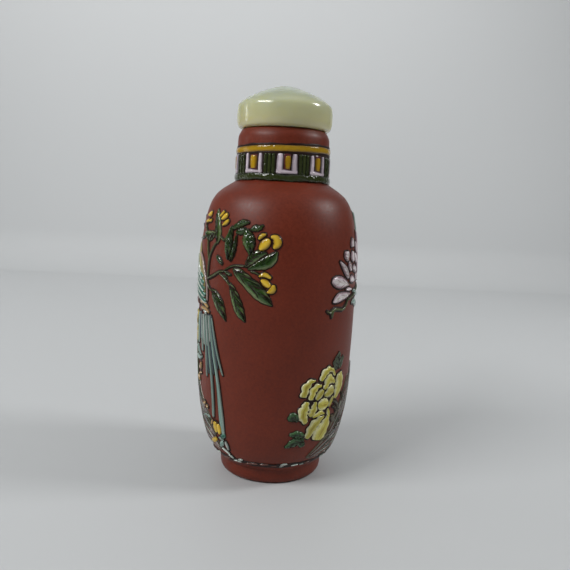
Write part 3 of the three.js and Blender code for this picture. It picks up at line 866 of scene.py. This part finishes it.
# ---- the plants at the sides and the back -------------------------------------------------------
# A trunk climbs from each rock round the side, with a few plain leaves and buds; on the left it also
# carries the bird, over a small flower with turquoise leaves.
trunks = [
    drawn((-119, 9, 1.3), (-122, 17, 1.1), (-121, 26, 1.0), (-117, 34, 0.9), (-116, 44, 0.6)),
    drawn((-120.4, 27.4, 0.8), (-110, 33.6, 0.7), (-98, 36.4, 0.6), (-84, 36.4, 0.5), (-72, 35.6, 0.35)),
    drawn((119, 10, 1.3), (122, 18, 1.1), (120, 28, 1.0), (114, 35, 0.8), (103, 38, 0.7), (88, 40.2, 0.6)),
    drawn((117, 32, 0.8), (119, 38, 0.6), (118, 44.4, 0.45)),
]
far_leaves = [
    leaf((side * start[0], start[1]), (side * end[0], end[1]), width, side * bend)
    for side in (-1, 1)
    for start, end, width, bend in (
        ((118, 43.6), (129, 52), 2.4, -0.5),
        ((117.6, 43), (109, 50.6), 2.0, 0.5),
        ((119, 35), (137, 38.4), 2.4, 0.4),
        ((121.4, 27), (136, 29.4), 1.9, -0.3),
        ((121.6, 21), (110, 24.6), 1.8, 0.3),
        ((122, 16.4), (135, 17.4), 1.7, -0.3),
    )
]
far_stalks = [
    drawn((side * 122, 20.4, 0.4), (side * 127, 22.6, 0.35), (side * 131, 24, 0.3)) for side in (-1, 1)
]
far_buds = [
    petal((side * near, low), (side * far, high), width)
    for side in (-1, 1)
    for near, low, far, high, width in (
        (130, 23.4, 136, 24.8, 1.3), (131, 24.6, 134.6, 26.6, 1.1), (133, 22.6, 138.6, 22.8, 1.0),
        (126, 52.4, 131, 54, 1.1), (129.6, 51.4, 135, 52.4, 1.0),
    )
]
side_flower = [
    drawn((-79, 31.2, 0.8), (-83, 32.2, 1.7), (-87, 32.2, 0.9), frill=3),
    drawn((-80, 30, 0.7), (-85, 29.6, 1.7), (-89, 30.6, 0.9), frill=3),
    drawn((-78, 29.6, 0.6), (-80.6, 28, 1.5), (-84, 27.4, 0.8), frill=3),
    drawn((-76.6, 31, 0.7), (-74, 29.6, 1.3), (-74.6, 28, 0.7), frill=3),
    drawn((-77, 32.4, 0.6), (-75, 33.4, 1.3), (-77.6, 34.2, 0.6), frill=3),
]
side_leaves = [
    drawn((-66.6, 25.4, 0.3), (-71, 25.8, 0.9), (-77, 26.6, 1.1), (-82, 26.4, 0.3)),
    drawn((-64, 25.2, 0.3), (-69, 24.6, 0.7), (-75, 24.4, 0.9), (-80, 24.8, 0.3)),
    drawn((-84, 25.4, 0.4), (-88, 26.6, 1.4), (-93, 28, 0.4)),
]
side_stems = [drawn((-80, 17, 0.4), (-78.6, 21, 0.4), (-79.6, 25, 0.4), (-80, 28, 0.35))]
outlined("trunks", trunks, rock_brown)
outlined("far_stalks", far_stalks + side_stems, stem_green)
outlined("far_leaves", far_leaves, leaf_green)
lay_veins("far_veins", far_leaves, dark_line, pairs=3)
outlined("far_buds", far_buds, bud_yellow)
outlined("side_leaves", side_leaves, pale_turquoise)
outlined("side_flower", side_flower, straw_yellow)


# ---- small flowers at the left ------------------------------------------------------------------
# Round yellow and tan buds and a few turquoise and white leaves lie round the tips of the tail.
small_yellow = [
    petal((-48, 12.7), (-47.8, 10.4), 2.1, swell=0.0, base=0.12),
    petal((-43.6, 12.6), (-43.2, 10.4), 1.4, swell=0.0, base=0.26),
    drawn((-50, 8.7, 0.9), (-54.6, 8.1, 1.7), (-60, 7.5, 0.9)),
]
small_tan = [
    drawn((-51.9, 12.7, 0.4), (-52.7, 12.2, 0.7), (-53.8, 11.7, 0.4)),
    drawn((-66.6, 23.7, 0.8), (-68.4, 22.9, 1.4), (-70.6, 22.4, 0.8)),
    drawn((-66, 21.6, 0.3), (-69, 21.4, 0.5), (-71, 21.2, 0.3)),
    drawn((-60.4, 15.7, 0.5), (-62.6, 15.5, 0.8), (-65, 15.1, 0.5)),
    drawn((-59.2, 15.3, 0.4), (-58, 15.1, 0.6), (-56.6, 15, 0.3)),
    drawn((-72, 19.6, 0.5), (-75, 20.2, 1.2), (-78, 20, 0.5)),
]
small_turquoise = [
    drawn((-42.2, 8.6, 0.8), (-44.6, 8, 1.2), (-47.2, 7.3, 0.7)),
    drawn((-46.6, 9.4, 0.2), (-44, 9.2, 0.3), (-41, 9, 0.2)),
    drawn((-55, 13, 0.3), (-60, 13.3, 0.5), (-68, 12.4, 0.4)),
]
small_white = [
    drawn((-39.2, 8.9, 0.5), (-38.4, 8.1, 0.75), (-37.3, 7.1, 0.4)),
    drawn((-45, 7.1, 0.3), (-41, 6.6, 0.45), (-37.2, 6.1, 0.3)),
    drawn((-39, 6.0, 0.2), (-36.6, 5.7, 0.35), (-34.2, 5.4, 0.2)),
]
tail_end = [drawn((-43, 9.9, 0.5), (-41, 10, 0.9), (-38.6, 10.5, 0.8))]
outlined("small_turquoise", small_turquoise, pale_turquoise, line=0.2)
outlined("small_yellow", small_yellow, bud_yellow)
outlined("small_tan", small_tan, rump_tan)
outlined("small_white", small_white, tin_white)
lay("tail_end", tail_end, wing_green, base=0.24, rise=0.2)


# ---- enamel rings -------------------------------------------------------------------------------
# Plain rings of enamel run round the neck and round the foot of the body. They are laid by hand on a
# turning bottle, so their edges wander a little.
ring_steps = 8  # steps over the bulge of a ring


def ring(name, low, high, rise, material, wander=0.05, slant=0.0):
    """A closed ring of enamel between two heights; it may slant up towards one side."""
    bm = fresh_layers()
    line = []
    for i in range(ring_steps + 1):
        turn = pi * i / ring_steps
        height = low + (high - low) * (1 - cos(turn)) / 2
        radius, facing = clay_at(height)
        bulge = rise * sin(turn) ** 0.5
        line.append((radius + bulge * facing.x, height + rise * facing.y * sin(turn)))
    line += [(clay_at(high)[0] - enamel_root, high), (clay_at(low)[0] - enamel_root, low)]
    spin_round(bm, line, closed=True)
    stroke, shade = bm.loops.layers.uv["stroke"], bm.faces.layers.float["tone"]
    for face in bm.faces:
        face[shade] = 0.5
        for loop in face.loops:
            angle = atan2(loop.vert.co.x, -loop.vert.co.y)
            share = (loop.vert.co.z / MM - low) / (high - low)
            loop[stroke].uv = (0.5 + 0.3 * sin(angle), min(max(share, 0), 1))
    for corner in bm.verts:
        angle = atan2(corner.co.x, -corner.co.y)
        upper = corner.co.z / MM > (low + high) / 2
        drift = sin(5 * angle + low) + 0.7 * sin(13 * angle + 2 * low + 2 * upper)
        drift += 0.4 * sin(29 * angle + 3 * upper)
        corner.co.z += (wander * drift * 0.5 + slant * sin(angle)) * MM
    finished(name, bm, material)


# The foot line is dark, with short dashes of white and brown laid over it: each is the angle and the
# height of its middle, its length in degrees and its width.
white_dashes = [
    (-27.4, 5.35, 5.0, 0.42),
    (-33.6, 4.75, 5.0, 0.4),
    (13, 5.2, 6.0, 0.36),
    (11, 4.7, 4.0, 0.26),
    (23.6, 4.75, 6.6, 0.4),
    (31, 4.7, 4.0, 0.2),
]
brown_dashes = [
    (-15.4, 4.95, 9.0, 0.5),
    (-5, 5.1, 8.0, 0.32),
    (4, 4.75, 5.0, 0.26),
    (-21, 4.8, 4.0, 0.24),
    (37, 4.9, 6.0, 0.26),
]
far_dashes = 11
dash_turn = 300 / far_dashes  # the dashes of one colour are this far apart round the back


def dash(middle, height, length, width):
    """One small stroke of the foot line, a little aslant."""
    return drawn(
        (middle - length / 2, height - 0.06, width * 0.5),
        (middle, height, width),
        (middle + length / 2, height + 0.08, width * 0.5),
    )


for i in range(far_dashes):
    turned_by = dash_turn * i
    white_dashes.append((58 + turned_by, 4.9 + 0.2 * sin(i * 2.3), 6.0 + 1.4 * sin(i * 1.7), 0.38))
    brown_dashes.append((70 + turned_by, 4.9 + 0.15 * sin(i * 1.9), 9.0 + 2 * sin(i * 1.1), 0.4))
over_line = {"base": 0.04, "rise": 0.22, "steps": 10, "strips": 4}
ring("foot_line", 4.15, 5.35, 0.1, dark_line, wander=0.16)
lay("foot_dashes_white", [dash(*given) for given in white_dashes], tin_white, **over_line)
lay("foot_dashes_brown", [dash(*given) for given in brown_dashes], rock_brown, **over_line)


# ---- the neck -----------------------------------------------------------------------------------
# The neck is enamelled all round: a yellow ring above, a thick green ring that pools on the shoulder
# below, and between them eight lappets, each a yellow tongue in a pale frame, with green panels.

# The olive green is laid thickest and pools almost black. The ochre and the lilac white are glassy and
# wavy, the white with the streaks of the brush, and the maroon is a thin line with less gloss.
band_green = enamel(
    "deep olive green enamel, pooled and fired", "#323a17", "#2d3414", "#1b210b", gloss=0.08, wave=0.45
)
band_yellow = enamel("ochre yellow enamel, fired", "#b08a1c", "#a37d15", "#7a5c12", wave=0.25)
frame_white = enamel("lilac white enamel, fired", "#e0d7dc", "#d0c6cd", "#a89ca6", streak=0.7, wave=0.25)
maroon = enamel("maroon line, painted and fired", "#5c2326", "#541f21", "#3f1617", gloss=0.3)

# Where each lappet stands, and how wide the left and the right side of its frame and its tongue are,
# all in degrees. Three face the front, and the others are spread over the rest of the neck.
lappets = [(-36.8, 5.2, 5.4, 10.4), (5.0, 7.8, 6.6, 7.0), (46.0, 5.8, 6.6, 9.6)]
far_count = 5
first_front, last_front = lappets[0][0], lappets[-1][0]
far_gap = (360 - last_front + first_front) / (far_count + 1)
for i in range(far_count):
    frame_side, tongue = 6.0 + 0.7 * sin(i * 3.0), 8.6 + 1.2 * sin(i * 1.6)
    lappets.append((last_front + far_gap * (i + 1), 6.2 + sin(i * 2.0), frame_side, tongue))
lappet_top, lappet_foot = 66.0, 62.2
lappet_half = 12.2  # degrees from the middle of a lappet to the outside of its frame
panel_from = 13  # and to where the green panels beside it begin
degree = radians(1) * belly_radius  # the width of one degree in the flat picture

frames, fields, tongues = [], [], []
for number, (middle, left, right, tongue) in enumerate(lappets):
    for place, width in ((left / 2 - lappet_half, left * degree), (lappet_half - right / 2, right * degree)):
        wobble = 0.3 * sin(number * 2 + place)
        frames.append(drawn(
            (middle + place - 0.4 * wobble, lappet_top - 0.2 * abs(wobble), width * 0.9),
            (middle + place + wobble, 64.4, width * (1 + 0.2 * wobble)),
            (middle + place, 63, width * (1 - 0.2 * wobble)),
            (middle + place, lappet_foot, width * 1.08),
            ends=SQUARE,
        ))
    frames.append(drawn(
        (middle - 12.4, lappet_foot + 0.4, 0.9),
        (middle - 6, lappet_foot + 0.4, 0.95),
        (middle + 5, lappet_foot + 0.3, 0.66),
        (middle + 12.4, lappet_foot + 0.36, 0.85),
        ends=SQUARE,
    ))
    field_width = (2 * lappet_half - left - right + 2) * degree
    fields.append(
        ribbon((middle, lappet_top + 0.2), (middle, lappet_foot + 0.4), field_width, ends=SQUARE)
    )
    shift = (left - right) / 2 + 0.3 * sin(number)
    tongues.append(drawn(
        (middle + shift, lappet_top - 0.4, tongue * 0.86 * degree),
        (middle + shift, 64.8, tongue * degree),
        (middle + shift, lappet_foot + 0.85, tongue * 0.9 * degree),
    ))

middles = [given[0] for given in lappets]
gaps = [
    (middle + panel_from, ahead - panel_from + 360 * (ahead < middle))
    for middle, ahead in zip(middles, middles[1:] + middles[:1])
]
panel_places = [start + (end - start) * share for start, end in gaps for share in (0.2, 0.5, 0.8)]
panels = [
    ribbon((place, lappet_top), (place, lappet_foot - 0.4), 1.5, ends=SQUARE) for place in panel_places
]

ring("neck_ground", 61.9, 66.4, 0.1, dark_line, wander=0.02)
ring("neck_line_low", 65.85, 66.5, 0.16, dark_line, wander=0.12, slant=0.24)
ring("neck_line_high", 67.3, 68.0, 0.14, dark_line, wander=0.14, slant=0.28)
ring("neck_yellow_ring", 66.35, 67.6, 0.26, band_yellow, wander=0.05, slant=0.26)
ring("neck_green_ring", 60.75, 62.2, 0.45, band_green, wander=0.2)
lay("neck_panels", panels, band_green, rise=0.28, steps=12, strips=6)
lay("lappet_fields", fields, maroon, rise=0.14, steps=8, strips=4)
lay("lappet_frames", frames, frame_white, base=0.06, rise=0.26, steps=14, strips=6)
lay("lappet_tongues", tongues, band_yellow, base=0.06, rise=0.28, steps=12, strips=6)


# ---- the stopper --------------------------------------------------------------------------------
# A round cap of pale celadon stone, cut and polished, with a low cone of a crown, a soft shoulder
# and a short plug that sits in the mouth.
cap_low, cap_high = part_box("stopper")
cap_top = cap_high.z / MM
cap_radius = cap_high.x / MM
plug_end = cap_low.z / MM
plug_radius = 3.6
clear = 0.02  # a hair of room between the cap and what it would touch

plug_line = [
    (0, plug_end),
    (plug_radius - 0.6, plug_end),
    (plug_radius - 0.25, plug_end + 0.3),
    (plug_radius, lip_height - 0.3),
    (plug_radius + 0.1, lip_height + clear),
    (cap_radius - 1.3, lip_height + clear),
]
crown_line = smooth_line(
    [
        (cap_radius - 0.9, lip_height + clear),
        (cap_radius - 0.35, lip_height + 0.45),
        (cap_radius - 0.05, lip_height + 1.4),
        (cap_radius, lip_height + 2.6),
        (cap_radius - 0.05, lip_height + 3.9),
        (cap_radius - 0.3, lip_height + 4.8),
        (cap_radius - 1.1, lip_height + 5.55),
        (7.1, lip_height + 6.5),
        (cap_radius / 2, lip_height + 7.55),
        (2.6, lip_height + 8.36),
        (1.1, cap_top - 0.1),
        (0, cap_top - clear),
    ],
    66,
)


# Pale celadon stone, polished: light goes a little way in and comes out yellower, with faint clouds inside
# and sharp white highlights. Its colour also holds painted glow and painted shade, lighter and yellower at
# the lower edge, darker and greyer at the crown.
def celadon_stone():
    material, tree, surface = new_material("celadon stone, cut and polished")
    place = add_node(tree, "ShaderNodeTexCoord").outputs["Object"]
    height = add_node(tree, "ShaderNodeSeparateXYZ", None, Vector=place).outputs["Z"]
    share = add_node(
        tree, "ShaderNodeMapRange", None, Value=height, From_Min=lip_height * MM, From_Max=cap_top * MM
    )
    cloud = add_node(tree, "ShaderNodeTexNoise", None, Vector=place, Scale=per_metre(5), Detail=3.0)
    mixed = add_node(tree, "ShaderNodeMath", {"operation": "MULTIPLY_ADD"}, i0=cloud, i1=0.3, i2=share)
    # painted glow and painted shade: lighter and yellower low on the cap, darker and greyer up at the crown
    colour = ramp(tree, mixed, [(0.1, "#c6bf95"), (0.5, "#bfbf98"), (1.0, "#a7b09b")])
    tree.links.new(colour, surface.inputs["Base Color"])
    surface.inputs["Roughness"].default_value = 0.17
    surface.inputs["IOR"].default_value = 1.62
    surface.inputs["Subsurface Weight"].default_value = 0.85
    surface.inputs["Subsurface Radius"].default_value = (1.0, 0.9, 0.5)
    surface.inputs["Subsurface Scale"].default_value = 3.5 * MM
    return material


stopper = turned("stopper_cap", plug_line + crown_line, celadon_stone())
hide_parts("stopper")


# ---- the floor and the lights -------------------------------------------------------------------
# The bottle stands on a plain pale floor, before a board of the same paper that bends up behind it.
# A soft light hangs high on each side, a narrow window stands far to the left, and one more light
# falls on the board alone.
floor_half = 420
board_run, board_rise, board_lean, board_half = 330, 900, 200, 300
board_bend = 30
board_lift = 0.02  # the board lies on the floor, just clear of it

# Pale matt paper board: one even tone, with only a faint sheen.
paper, _, paper_surface = new_material("pale matt board")
paper_surface.inputs["Base Color"].default_value = linear("#c3c5c6")
paper_surface.inputs["Roughness"].default_value = 0.55

bm = bmesh.new()
bmesh.ops.create_grid(bm, x_segments=1, y_segments=1, size=floor_half * MM)
smooth_object("floor", bm, paper)

bm = bmesh.new()
near_left = Vector((-board_half, board_run - 4 * board_bend, board_lift)) * MM
near_edge = [bm.verts.new(near_left), bm.verts.new(near_left + Vector((2 * board_half * MM, 0, 0)))]
far_edge = [bm.edges.new(near_edge)]
for step in (Vector((0, 4 * board_bend, 0)), Vector((0, board_lean, board_rise))):
    grown = bmesh.ops.extrude_edge_only(bm, edges=far_edge)["geom"]
    corners = [item for item in grown if isinstance(item, bmesh.types.BMVert)]
    bmesh.ops.translate(bm, verts=corners, vec=step * MM)
    far_edge = [item for item in grown if isinstance(item, bmesh.types.BMEdge)]
fold = [edge for edge in bm.edges if len(edge.link_faces) == 2]
bmesh.ops.bevel(
    bm, geom=fold, offset=board_bend * MM, affect="EDGES", segments=12, profile=0.5, material=-1
)
smooth_object("backdrop", bm, paper)


def soft_light(name, place, aim, size, power):
    """A soft light of this width and height at a place, facing the place it is aimed at."""
    data = bpy.data.lights.new(name, "AREA")
    data.shape = "RECTANGLE"
    data.size, data.size_y = size[0] * MM, size[1] * MM
    data.energy = power
    lamp = bpy.data.objects.new(name, data)
    lamp.location = Vector(place) * MM
    lamp.rotation_euler = (Vector(place) - Vector(aim)).to_track_quat("Z", "Y").to_euler()
    bpy.context.collection.objects.link(lamp)


middle_of_bottle = (0, 0, lip_height / 2)
soft_light("left_light", (-270, -185, 300), middle_of_bottle, (220, 60), 1.08)
soft_light("right_light", (335, -15, 280), middle_of_bottle, (90, 90), 0.66)
soft_light("window", (-400, 95, 95), middle_of_bottle, (40, 190), 0.09)
soft_light("wall_light", (-120, 130, 420), (-120, 560, 250), (700, 120), 1.02)

# The room lights the bottle brightly from overhead and dimly from the sides, so that the dark enamels
# stay deep. Where the camera looks straight at it, it is one plain pale colour behind the floor.
room = bpy.data.worlds.new("room")
room.use_nodes = True
room_tree = room.node_tree
way_out = add_node(room_tree, "ShaderNodeTexCoord").outputs["Generated"]
overhead = add_node(room_tree, "ShaderNodeSeparateXYZ", None, Vector=way_out).outputs["Z"]
room_colour = ramp(room_tree, overhead, [(0.0, "#4e504f"), (0.35, "#8f9292"), (1.0, "#f2f4f4")])
seen = add_node(room_tree, "ShaderNodeLightPath").outputs["Is Camera Ray"]
plain = add_node(
    room_tree, "ShaderNodeMix", {"data_type": "RGBA"}, i0=seen, i6=room_colour, i7=linear("#f4f6f7")
)
background = room_tree.nodes["Background"]
room_tree.links.new(plain.outputs[2], background.inputs["Color"])
background.inputs["Strength"].default_value = 0.5
bpy.context.scene.world = room
bpy.context.scene.view_settings.view_transform = "Standard"
